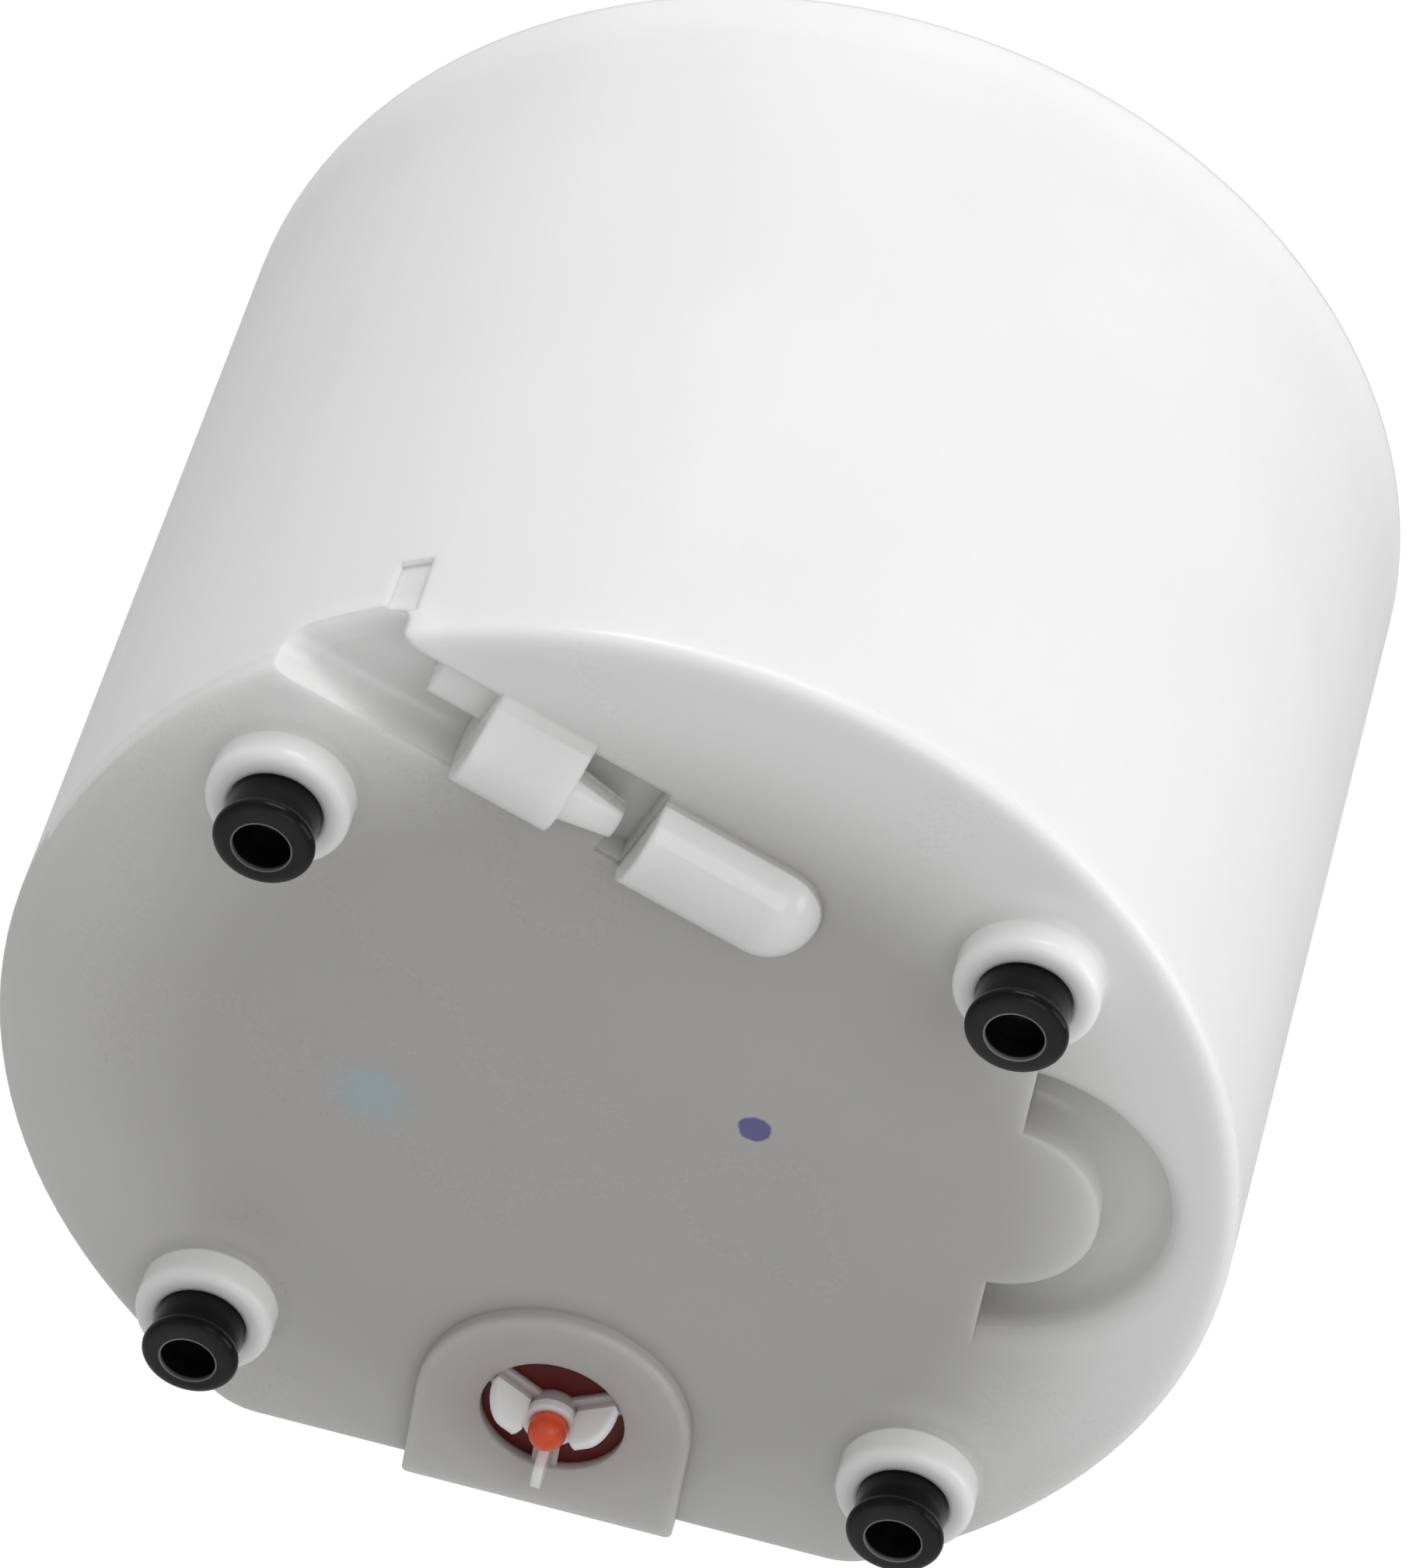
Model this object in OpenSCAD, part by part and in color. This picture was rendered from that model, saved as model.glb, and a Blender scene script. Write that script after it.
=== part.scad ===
// Removable D-shaped water tank with a foot valve, level float, lid and folding handle.
// Origin: middle of the four rubber feet, on the plane that they stand on.
// +X right, +Y towards the flat back wall, +Z up.

/* [Tank] */
// Radius of the round front wall at the bottom
tank_r = 110.4; // [105:0.2:125]
// Distance from the centre to the flat back wall at the bottom
back_y = 94; // [88:0.5:98]
// Radius of the two upright back corners
corner_r = 14; // [12:0.5:18]
// Height of the rim above the standing plane
tank_top = 200; // [195:1:240]
// Height of the underside above the standing plane
tank_bottom = 17; // [16.5:0.5:18]
// Thickness of the side wall
wall = 3; // [2.5:0.1:3.5]
// Thickness of the floor
floor_t = 3.5; // [3:0.1:4.5]
// Outward lean of the walls, mm per mm of height
draft = 0.018; // [0.01:0.001:0.02]
// Rounding of the bottom edge
edge_r = 2.5; // [2:0.5:4]

/* [Feet] */
// Spacing of the feet from side to side
foot_dx = 130; // [120:1:134]
// Spacing of the feet from front to back
foot_dy = 126.4; // [118:0.2:128]
// Distance from the centre to the middle of the four feet
foot_mid_y = 2.1; // [1:0.1:4]
// Radius of the plastic boss round each foot
boss_r = 12.7; // [12:0.1:13.5]
// Radius of a rubber foot
foot_r = 8.9; // [8:0.1:9]
// Radius of the hole in a rubber foot
foot_hole_r = 5.1; // [4.5:0.1:5.5]
// Height of rubber standing proud of the boss
foot_proud = 9.3; // [9:0.1:9.6]

/* [Valve] */
// Distance from the centre to the valve axis
valve_y = 70.6; // [70:0.1:70.7]
// Radius of the valve opening
valve_r = 13.4; // [12.5:0.1:13.5]
// Width and half-width arch of the valve pad
pad_r = 25.4; // [24:0.2:26]
// Height of the pad face above the standing plane
pad_z = 13.5; // [13:0.1:14]
// Radius of the plunger
pin_r = 3.5; // [3:0.1:3.6]
// Travel of the plunger
valve_travel = 4; // [2:0.5:4]

/* [Spout] */
// Direction of the spout, anticlockwise from +X
spout_ang = 20; // [18:0.5:22]
// Radius of the spout body
spout_r = 7.7; // [7:0.1:8]
// Radius of the closed capsule
capsule_r = 9.4; // [9:0.1:9.8]

/* [Finger groove] */
// Radius of the lobe inside the groove
lobe_r = 18.5; // [17:0.5:19]
// Outer radius of the groove
groove_r = 30.8; // [29:0.2:31]
// Depth of the groove
groove_depth = 11; // [8:0.5:12]

/* [Lid and handle] */
// Thickness of the lid's flange
flange_t = 2.2; // [2:0.1:2.4]
// Height of the lid's raised middle above its flange
lid_rise = 6.8; // [6.5:0.1:7]
// Width of the handle bar
bar_w = 6; // [5:0.2:6.4]
// Distance from the centre to the handle's pivot
pivot_y = 12; // [10:1:16]

/* [Float] */
// Position of the float post, left of the centre
float_x = -70; // [-74:1:-60]
// Position of the float post, behind the centre
float_y = 30; // [20:1:34]
// Radius of the float
float_r = 13; // [12:0.5:14]

/* [Hidden] */
$fn = 96;
eps = 0.01;
big = 400;
run_fit = 0.08;

// Tank
corner_y = back_y - corner_r;
corner_x = sqrt(pow(tank_r - corner_r, 2) - pow(corner_y, 2));
floor_z = tank_bottom + floor_t;
inner_edge_r = 1;

// Feet
foot_recess_gap = 0.3;
foot_recess_depth = 2.5;
foot_seat_z = foot_proud + foot_recess_depth;
foot_hole_depth = 5.2;
stem_r = 2.6;
stem_top = 18.2;
foot_neck_r = foot_r - 0.7;
boss_round = 2.2;
boss_flare = 1.6;

// Valve
pad_arch_y = valve_y + 1.6;
hub_r = 5;
spoke_w = 4.7;
collar_z = 11.4;
fin_t = 1.8;
fin_low = 4.9;
spider_recess = 0.8;
spider_t = 1.4;
spider_z = pad_z + spider_recess;
seat_z = spider_z + spider_t;
well_r = 17;
seal_gap = 0.1;
seal_r = 14.2;
seal_t = 1.6;
seal_z = seat_z + seal_gap;
pin_tip_z = 6.2;
pin_flange_r = 9;
pin_flange_t = 1.6;
pin_flange_z = seal_z + seal_t;
spring_z = pin_flange_z + pin_flange_t;
stem_guide_r = 2.5;
pin_top = 37.7;
guide_ring_r = 15;
guide_top = 32.2;
guide_plate_t = 2;
spring_r = 4.4;
spring_wire = 0.45;
spring_turns = 5;
strainer_in = 17.2;
strainer_out = 19.2;
strainer_top = 46;
strainer_ring_h = 2.5;
mesh_t = 0.4;
mesh_r = 17.8;

// Spout frame: origin at the nozzle's tip, in the plane of the underside
tip_x = -8.5;
tip_y = -71.4;
nozzle_len = 10.2;
nozzle_base_r = 5.05;
nozzle_tip_r = 3.35;
body_len = 18.2;
capsule_gap = 4.8;
capsule_len = 34.1;
capsule_sunk = 0.4;
hose_near = -11.5;
hose_far = 8;
hose_depth = 10;
hose_round = 5;
hose_end = -75;
pocket_near = -10.5;
pocket_far = 4;
slot_far = 8.7;
pocket_depth = 6;
web_near = -12.5;
hollow_wall = 2.8;

// Finger groove
lobe_x = 68;
lobe_y = -5;
groove_cut_x = 70;
groove_round = 5;
groove_lip = 5;
liner_t = 3;

// Lid
ledge_w = 10;
ledge_z = 183;
ledge_t = 3;
lid_seal_out = -6.2;
lid_seal_in = -9.2;
lid_seal_t = 2;
flange_z = ledge_z + ledge_t + lid_seal_t;
flange_off = draft * (flange_z - tank_bottom) - wall - 0.5;
rise_z = flange_z + flange_t;
lid_top = rise_z + lid_rise;
rise_off = -15;
rise_corner_r = 16;
lid_skin = 2.2;
port_w = 88;
port_l = 50;
port_y = -45;
frame_rim = 8;
flap_w = 98;
flap_front = -78;
flap_back = -12;
flap_t = 2.3;
flap_round = 10;
flap_gap = 0.3;
hinge_y = -8;
hinge_z = lid_top - 1.5;
hinge_pin_r = 1.25;
knuckle_r = 2.6;
knuckle_in = 11;
knuckle_out = 30;
hinge_end = 42;
trough_gap = 0.4;

// Handle
bar_in = 98.4;
bar_h = 6.4;
pivot_z = 194.5;
eye_r = 4;
pivot_r = 2.5;
lug_x = bar_in + bar_w + 0.4;
lug_w = 10;
lug_top = 199;
pivot_end = 108.5;

// Float
post_r = 3;
post_top = 81;
float_z = 23.2;
float_h = 18;
float_cap_t = 2;
magnet_in = 5.2;
magnet_out = 8.8;
magnet_h = 4;
stop_z = 76;
stop_h = 3;
stop_r = 6;

// ---- Placing ----

// The shapes are drawn about the centre of the round wall, then moved to the part's origin
module place() { translate([0, -foot_mid_y, 0]) children(); }

// ---- Outline helpers ----

// D-shaped outline: round front of radius r, flat back, two corners of radius rc
module d_outline(r, back, rc) {
    cy = back - rc;
    cx = sqrt(pow(r - rc, 2) - pow(cy, 2));
    intersection() {
        circle(r = r);
        polygon([[0, 0], [cx * 3, cy * 3], [big, -big], [-big, -big], [-cx * 3, cy * 3]]);
    }
    for (s = [-1, 1]) translate([s * cx, cy]) circle(r = rc);
    polygon([[0, -cy / 2], [cx, cy], [cx, back], [-cx, back], [-cx, cy]]);
}

// Plan outline of the tank, grown by off
module plan(off = 0) { d_outline(tank_r + off, back_y + off, corner_r + off); }

// Plan outline of the lid's raised middle
module rise_plan(shrink = 0) {
    d_outline(tank_r + rise_off - shrink, back_y + rise_off - shrink, rise_corner_r - shrink);
}

// Profile of a leaning wall with a rounded bottom edge, for turning about Z
module lean_profile(r, z0, z1, edge) {
    top_r = r + draft * (z1 - z0);
    steps = 6;
    polygon(concat([[0, z0]],
        [for (i = [0:steps]) let (a = 90 * i / steps)
            [r - edge + edge * sin(a), z0 + edge - edge * cos(a)]],
        [[top_r, z1], [0, z1]]));
}

// D-shaped solid with leaning walls: off is measured at the underside of the tank
module tank_solid(off, z0, z1, edge) {
    grow = off + draft * (z0 - tank_bottom);
    intersection() {
        rotate_extrude() lean_profile(tank_r + grow, z0, z1, edge);
        translate([0, 0, z0 - 1]) linear_extrude(z1 - z0 + 2)
            polygon([[0, 0], [corner_x * 3, corner_y * 3], [big, -big], [-big, -big],
                     [-corner_x * 3, corner_y * 3]]);
    }
    for (s = [-1, 1]) translate([s * corner_x, corner_y, 0])
        rotate_extrude() lean_profile(corner_r + grow, z0, z1, edge);
    intersection() {
        translate([-corner_x, 0, 0]) rotate([90, 0, 90]) linear_extrude(corner_x * 2)
            lean_profile(back_y + grow, z0, z1, edge);
        translate([0, 0, z0 - 1]) linear_extrude(z1 - z0 + 2)
            polygon([[0, -corner_y / 2], [corner_x, corner_y], [corner_x, big],
                     [-corner_x, big], [-corner_x, corner_y]]);
    }
}

// Rectangle with rounded corners, centred on [0, 0]
module round_rect(w, l, r) {
    square([w - 2 * r, l], center = true);
    square([w, l - 2 * r], center = true);
    for (x = [-1, 1], y = [-1, 1]) translate([x * (w / 2 - r), y * (l / 2 - r)]) circle(r = r);
}

module at_feet() {
    for (x = [-1, 1], y = [-1, 1])
        translate([x * foot_dx / 2, foot_mid_y + y * foot_dy / 2, 0]) children();
}

module at_valve() { translate([0, valve_y, 0]) children(); }

module in_spout() { translate([tip_x, tip_y, tank_bottom]) rotate([0, 0, spout_ang]) children(); }

// Sweeps a profile drawn in (across, up) along the spout from x0 to x1
module along_spout(x0, x1) {
    translate([x0, 0, 0]) rotate([90, 0, 90]) linear_extrude(x1 - x0) children();
}

// ---- Tank shell ----

module foot_boss() {
    steps = 5;
    rotate_extrude() polygon(concat(
        [[0, foot_proud]],
        [for (i = [0:steps]) let (a = 90 * i / steps)
            [boss_r - boss_round + boss_round * sin(a), foot_proud + boss_round - boss_round * cos(a)]],
        [for (i = [0:steps]) let (a = 90 * i / steps)
            [boss_r + boss_flare - boss_flare * cos(a),
             tank_bottom - boss_flare + boss_flare * sin(a)]],
        [[boss_r + boss_flare, tank_bottom + 1], [0, tank_bottom + 1]]));
}

module pad_profile(r) {
    round_r = 1.2;
    steps = 4;
    polygon(concat([[0, pad_z]],
        [for (i = [0:steps]) let (a = 90 * i / steps)
            [r - round_r + round_r * sin(a), pad_z + round_r - round_r * cos(a)]],
        [[r, tank_bottom + 1.5], [0, tank_bottom + 1.5]]));
}

module valve_pad() {
    intersection() {
        translate([0, pad_arch_y, 0]) rotate_extrude() pad_profile(pad_r);
        translate([-pad_r - 1, 0, 0]) cube([2 * pad_r + 2, back_y, tank_bottom + 2]);
    }
    for (s = [0, 1]) mirror([s, 0, 0])
        translate([0, back_y, 0]) rotate([90, 0, 0]) linear_extrude(back_y - pad_arch_y)
            pad_profile(pad_r);
}

// Shallow round recess with three slots round the hub
module valve_slots() {
    over = 10;
    translate([0, 0, pad_z - 1]) cylinder(h = spider_recess + 1, r = valve_r);
    difference() {
        translate([0, 0, pad_z]) cylinder(h = seat_z - pad_z + eps, r = valve_r);
        translate([0, 0, pad_z - 1]) cylinder(h = over, r = hub_r);
        for (a = [90, 210, 330]) rotate([0, 0, a])
            translate([0, -spoke_w / 2, pad_z - 1]) cube([valve_r + 1, spoke_w, over]);
    }
}

// Short sleeve below the hub, round the plunger's tip
module hub_collar() {
    difference() {
        translate([0, 0, collar_z]) cylinder(h = spider_z - collar_z + eps, r = hub_r);
        translate([0, 0, collar_z - 1]) cylinder(h = spider_z - collar_z + 2, r = pin_r + run_fit);
    }
}

// Three leaf-shaped fins that stand round the plunger
module guard_fins() {
    steps = 8;
    fin_in = hub_r + 0.4;
    fin_out = valve_r - 0.4;
    flat_r = 8.8;
    nose = 0.8;
    shoulder_z = spider_z - 1.5;
    for (a = [90, 210, 330]) rotate([0, 0, a])
        translate([0, fin_t / 2, 0]) rotate([90, 0, 0]) linear_extrude(fin_t)
            polygon(concat(
                [[fin_in, spider_z + nose], [fin_in, fin_low + nose], [fin_in + nose, fin_low]],
                [for (i = [0:steps]) let (t = 90 * i / steps)
                    [flat_r + (fin_out - flat_r) * sin(t),
                     shoulder_z - (shoulder_z - fin_low) * cos(t)]],
                [[fin_out, spider_z + nose]]));
}

// Cross-section of the hose groove, open at the bottom
module hose_section(grow = 0) {
    roof = hose_depth + grow;
    r = hose_round + grow;
    translate([hose_near - grow, -6]) square([hose_far - hose_near + 2 * grow, roof - r + 6]);
    translate([hose_near - grow + r, -6]) square([hose_far - hose_near + 2 * grow - 2 * r, roof + 6]);
    for (x = [hose_near - grow + r, hose_far + grow - r]) translate([x, roof - r]) circle(r = r);
}

module spout_liner() {
    along_spout(hose_end, -nozzle_len - body_len + 4) hose_section(liner_t);
    translate([-nozzle_len - liner_t, pocket_near - liner_t, 0])
        cube([nozzle_len + capsule_gap + 2 * liner_t, slot_far - pocket_near + 2 * liner_t,
              pocket_depth + liner_t]);
}

module spout_cuts() {
    along_spout(hose_end, -nozzle_len - body_len) hose_section();
    translate([-nozzle_len, pocket_near, -8])
        cube([nozzle_len + eps, pocket_far - pocket_near, pocket_depth + 8]);
    translate([0, pocket_near, -12])
        cube([capsule_gap, slot_far - pocket_near, pocket_depth + 12]);
}

// Rod along +X with a flat start and a half-sphere at its end
module round_ended_rod(len, r) {
    rotate([0, 90, 0]) rotate_extrude() intersection() {
        union() {
            square([r, len - r]);
            translate([0, len - r]) circle(r = r);
        }
        square([r, len]);
    }
}

// Spout body with a web that runs out into the underside, closed nozzle and round-ended capsule
module spout_bumps() {
    along_spout(-nozzle_len - body_len, -nozzle_len) {
        circle(r = spout_r);
        intersection() {
            polygon([[web_near, 0.5], [web_near, 0], [-spout_r * sin(35), -spout_r * cos(35)],
                     [0, -spout_r * cos(60)], [0, 0.5]]);
            translate([-big / 2, -big]) square([big, big + 0.5]);
        }
    }
    translate([-nozzle_len - eps, 0, 0]) rotate([0, 90, 0])
        cylinder(h = nozzle_len, r1 = nozzle_base_r, r2 = nozzle_tip_r);
    translate([capsule_gap, 0, capsule_sunk]) round_ended_rod(capsule_len, capsule_r);
    translate([-nozzle_len - body_len - 10.4, hose_near - eps, 3])
        cube([10.5, 9.5, hose_depth - 2]);
}

// The bumps are hollow on the wet side, at an even wall thickness
module spout_hollows() {
    r1 = spout_r - hollow_wall;
    r2 = capsule_r - hollow_wall;
    mouth = 0.8;
    body_hollow = body_len - 2 * hollow_wall;
    capsule_hollow = capsule_len - 2 * hollow_wall;
    translate([-nozzle_len - body_len + hollow_wall, 0, 0]) {
        rotate([0, 90, 0]) cylinder(h = body_hollow, r = r1);
        translate([mouth, mouth - r1, 0]) cube([body_hollow - 2 * mouth, 2 * (r1 - mouth), 30]);
    }
    translate([capsule_gap + hollow_wall, 0, 0]) {
        rotate([0, 90, 0]) rotate_extrude() polygon([[0, 0], [r2, 0], [r2, capsule_hollow - r2],
            [r2 * 0.45, capsule_hollow - 1], [0, capsule_hollow - 1]]);
        translate([mouth, mouth - r2, 0])
            cube([capsule_hollow - r2 + mouth, 2 * (r2 - mouth), 30]);
    }
}

module half_ring(r_in, r_out, z0, z1, round_r) {
    translate([lobe_x, lobe_y, 0]) rotate([0, 0, -90]) rotate_extrude(angle = 180) {
        translate([r_in, z0]) square([r_out - r_in, z1 - round_r - z0]);
        translate([r_in + round_r, z0]) square([r_out - r_in - 2 * round_r, z1 - z0]);
        for (x = [r_in + round_r, r_out - round_r]) translate([x, z1 - round_r]) circle(r = round_r);
    }
}

// Rounded outer lip of the groove's mouth
module groove_mouth() {
    steps = 6;
    translate([lobe_x, lobe_y, 0]) rotate([0, 0, -90]) rotate_extrude(angle = 180)
        polygon(concat(
            [[groove_r - 1, tank_bottom - 1], [groove_r + groove_lip, tank_bottom - 1]],
            [for (i = [0:steps]) let (a = 90 * i / steps)
                [groove_r + groove_lip - groove_lip * sin(a),
                 tank_bottom + groove_lip - groove_lip * cos(a)]],
            [[groove_r - 1, tank_bottom + groove_lip]]));
}

module finger_groove() {
    intersection() {
        union() {
            half_ring(lobe_r, groove_r, tank_bottom - 5, tank_bottom + groove_depth, groove_round);
            groove_mouth();
        }
        translate([groove_cut_x, -big / 2, 0]) cube([big, big, 60]);
    }
}

module handle_lugs() {
    for (s = [-1, 1]) mirror([s < 0 ? 1 : 0, 0, 0])
        translate([lug_x, pivot_y - lug_w / 2, ledge_z + ledge_t - eps])
            cube([7, lug_w, lug_top - ledge_z - ledge_t]);
}

module wall_notch() {
    rotate([0, 0, -117.8]) translate([tank_r - 0.8, -3, 25]) cube([6, 6, 13.5]);
}

module shell_cuts() {
    at_feet() {
        translate([0, 0, foot_proud - 1])
            cylinder(h = foot_recess_depth + 1, r = foot_neck_r + foot_recess_gap);
        cylinder(h = stem_top + 0.3, r = stem_r);
    }
    at_valve() {
        valve_slots();
        translate([0, 0, seat_z]) cylinder(h = 30, r = well_r);
        translate([0, 0, -1]) cylinder(h = 30, r = pin_r + run_fit);
    }
    in_spout() spout_cuts();
    finger_groove();
    wall_notch();
    for (s = [0, 1]) mirror([s, 0, 0])
        translate([lug_x - 2, pivot_y, pivot_z]) rotate([0, 90, 0])
            cylinder(h = pivot_end - lug_x + 2, r = pivot_r);
}

module shell_body() {
    difference() {
        tank_solid(0, tank_bottom, tank_top, edge_r);
        difference() {
            tank_solid(-wall, floor_z, tank_top + 1, inner_edge_r);
            // Ledge that carries the lid
            translate([0, 0, ledge_z]) linear_extrude(ledge_t) difference() {
                circle(r = big);
                plan(-ledge_w);
            }
            handle_lugs();
            intersection() {
                tank_solid(-eps, tank_bottom, tank_top, edge_r);
                union() {
                    in_spout() spout_liner();
                    half_ring(lobe_r - liner_t, groove_r + liner_t, tank_bottom + 1,
                              tank_bottom + groove_depth + liner_t, groove_round);
                }
            }
        }
    }
    at_feet() foot_boss();
    valve_pad();
}

module tank_shell() color("whitesmoke") place() difference() {
    union() {
        difference() {
            shell_body();
            shell_cuts();
        }
        in_spout() spout_bumps();
        at_valve() {
            guard_fins();
            hub_collar();
        }
    }
    in_spout() spout_hollows();
}

// ---- Feet ----

// Push-in rubber foot: blind hole, flat lip, rounded rim and a straight neck
module rubber_foot() color("black") {
    lip = 1.2;
    rim_z = 1.8;
    neck_z = 3.2;
    crown_r = foot_hole_r + lip;
    steps = 6;
    rotate_extrude() polygon(concat(
        [[0, foot_hole_depth], [foot_hole_r, foot_hole_depth], [foot_hole_r, 0], [crown_r, 0]],
        [for (i = [1:steps]) let (a = 90 * i / steps)
            [crown_r + (foot_r - crown_r) * sin(a), rim_z - rim_z * cos(a)]],
        [for (i = [1:steps]) let (a = 90 * i / steps)
            [foot_neck_r + (foot_r - foot_neck_r) * cos(a), rim_z + (neck_z - rim_z) * sin(a)]],
        [[foot_neck_r, foot_seat_z], [stem_r, foot_seat_z], [stem_r, stem_top - 1],
         [stem_r - 1, stem_top], [0, stem_top]]));
}

module foot_at(sx, sy) { translate([sx * foot_dx / 2, sy * foot_dy / 2, 0]) rubber_foot(); }

module foot_front_left() foot_at(-1, -1);
module foot_front_right() foot_at(1, -1);
module foot_back_left() foot_at(-1, 1);
module foot_back_right() foot_at(1, 1);

// ---- Valve ----

module valve_seal() color("darkred") place() at_valve() {
    bead = 0.6;
    difference() {
        union() {
            translate([0, 0, seal_z]) cylinder(h = seal_t, r = seal_r);
            translate([0, 0, seal_z + seal_t]) rotate_extrude()
                translate([seal_r - bead, 0]) circle(r = bead);
        }
        translate([0, 0, seal_z - 1]) cylinder(h = seal_t + 3, r = pin_r);
    }
}

// Plunger: domed tip, shank in the hub, flange over the seal, stem in the guide
module valve_pin() color("orangered") place() at_valve() {
    tip_z = pin_tip_z + pin_r;
    translate([0, 0, tip_z]) sphere(r = pin_r);
    translate([0, 0, tip_z]) cylinder(h = pin_flange_z - tip_z + eps, r = pin_r);
    translate([0, 0, pin_flange_z]) cylinder(h = pin_flange_t, r = pin_flange_r);
    translate([0, 0, spring_z - eps]) cylinder(h = pin_top - spring_z, r = stem_guide_r);
    translate([0, 0, pin_top - 2 * eps]) cylinder(h = 1, r1 = stem_guide_r, r2 = stem_guide_r - 0.8);
}

// Round wire swept along a helix
module valve_spring() color("silver") place() at_valve() {
    sides = 8;
    steps = spring_turns * 14;
    low = spring_z + spring_wire + 0.05;
    high = guide_top - spring_wire - 0.05;
    slope = atan((high - low) / (spring_turns * 360 * spring_r * PI / 180));
    points = [for (i = [0:steps], j = [0:sides - 1])
        let (a = i * spring_turns * 360 / steps, b = j * 360 / sides,
             out = spring_wire * cos(b), lift = spring_wire * sin(b))
            [(spring_r + out) * cos(a) + lift * sin(slope) * sin(a),
             (spring_r + out) * sin(a) - lift * sin(slope) * cos(a),
             low + (high - low) * i / steps + lift * cos(slope)]];
    sides_faces = [for (i = [0:steps - 1], j = [0:sides - 1]) let (k = (j + 1) % sides)
        [i * sides + j, (i + 1) * sides + j, (i + 1) * sides + k, i * sides + k]];
    ends = [[for (j = [0:sides - 1]) j],
            [for (j = [0:sides - 1]) steps * sides + sides - 1 - j]];
    polyhedron(points, concat(sides_faces, ends));
}

// Cage over the spring, standing in the valve well
module valve_guide() color("white") place() at_valve() difference() {
    ring_r = well_r - 0.1;
    union() {
        difference() {
            translate([0, 0, seat_z]) cylinder(h = guide_top + guide_plate_t - seat_z, r = ring_r);
            translate([0, 0, seat_z - 1]) cylinder(h = guide_top - seat_z + 1, r = guide_ring_r);
            // Water windows between the three posts
            for (a = [30, 150, 270]) rotate([0, 0, a])
                translate([0, -11, seat_z + 4]) cube([big, 22, guide_top - seat_z - 4.5]);
        }
        translate([0, 0, guide_top]) cylinder(h = guide_plate_t + 1.5, r = stem_guide_r + 2.2);
    }
    for (a = [0:60:300]) rotate([0, 0, a]) translate([9.6, 0, guide_top - 1])
        cylinder(h = guide_plate_t + 2, r = 3);
    translate([0, 0, guide_top - 3]) cylinder(h = 10, r = stem_guide_r + run_fit);
}

module strainer_frame() color("white") place() at_valve() {
    posts = 6;
    post_w = 2.4;
    for (z = [floor_z, strainer_top - strainer_ring_h])
        translate([0, 0, z]) difference() {
            cylinder(h = strainer_ring_h, r = strainer_out);
            translate([0, 0, -1]) cylinder(h = strainer_ring_h + 2, r = strainer_in);
        }
    for (i = [0:posts - 1]) rotate([0, 0, i * 360 / posts])
        translate([mesh_r + mesh_t, -post_w / 2, floor_z + strainer_ring_h - eps])
            cube([strainer_out - mesh_r - mesh_t - 0.1, post_w,
                  strainer_top - floor_z - 2 * strainer_ring_h + 2 * eps]);
    translate([0, 0, strainer_top - strainer_ring_h]) difference() {
        for (i = [0:2]) rotate([0, 0, i * 60]) translate([-strainer_in - 1, -post_w / 2, 0])
            cube([2 * strainer_in + 2, post_w, 1.4]);
        translate([0, 0, -1]) cylinder(h = 5, r = 4.5);
    }
    translate([0, 0, strainer_top - strainer_ring_h]) difference() {
        cylinder(h = 4.5, r = 5.5);
        translate([0, 0, 2.5]) cylinder(h = 5, r = 4);
    }
}

// Fine cloth round the strainer's posts and a disc below its top spokes
module strainer_mesh() color("lightgray") place() at_valve() {
    low = floor_z + strainer_ring_h;
    top = strainer_top - strainer_ring_h;
    difference() {
        translate([0, 0, low]) cylinder(h = top - low, r = mesh_r + mesh_t);
        translate([0, 0, low - 1]) cylinder(h = top - low + 1 - mesh_t, r = mesh_r);
    }
}

// ---- Float ----

module at_float() { translate([float_x, float_y, 0]) children(); }

module float_post() color("white") place() at_float() {
    translate([0, 0, floor_z]) cylinder(h = 2, r = 8);
    translate([0, 0, floor_z]) cylinder(h = post_top - floor_z - 1, r = post_r);
    translate([0, 0, post_top - 1 - eps]) cylinder(h = 1, r1 = post_r, r2 = post_r - 0.8);
    for (a = [45:90:315]) rotate([0, 0, a]) translate([0, -0.6, floor_z]) cube([7, 1.2, 2.6]);
}

module float_body() color("ivory") place() at_float() difference() {
    round_r = 2;
    rotate_extrude() difference() {
        union() {
            translate([0, float_z + round_r]) square([float_r, float_h - round_r]);
            translate([0, float_z]) square([float_r - round_r, float_h]);
            translate([float_r - round_r, float_z + round_r]) circle(r = round_r);
        }
        translate([-float_r * 2, float_z - 5]) square([float_r * 2, float_h + 10]);
    }
    translate([0, 0, float_z - 1]) cylinder(h = float_h + 2, r = post_r + run_fit);
    translate([0, 0, float_z + float_h - magnet_h]) difference() {
        cylinder(h = magnet_h + 1, r = magnet_out);
        translate([0, 0, -1]) cylinder(h = magnet_h + 3, r = magnet_in);
    }
}

module float_cap() color("ivory") place() at_float() difference() {
    translate([0, 0, float_z + float_h]) {
        cylinder(h = float_cap_t / 2, r = float_r);
        translate([0, 0, float_cap_t / 2 - eps])
            cylinder(h = float_cap_t / 2, r1 = float_r, r2 = float_r - 1);
    }
    translate([0, 0, float_z]) cylinder(h = big, r = post_r + run_fit);
}

module float_magnet() color("dimgray") place() at_float()
    translate([0, 0, float_z + float_h - magnet_h]) difference() {
        cylinder(h = magnet_h, r = magnet_out);
        translate([0, 0, -1]) cylinder(h = magnet_h + 2, r = magnet_in);
    }

module float_stop() color("white") place() at_float() translate([0, 0, stop_z]) difference() {
    cylinder(h = stop_h, r = stop_r);
    translate([0, 0, -1]) cylinder(h = stop_h + 2, r = post_r);
    translate([0, -0.8, -1]) cube([stop_r + 1, 1.6, stop_h + 2]);
}

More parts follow.
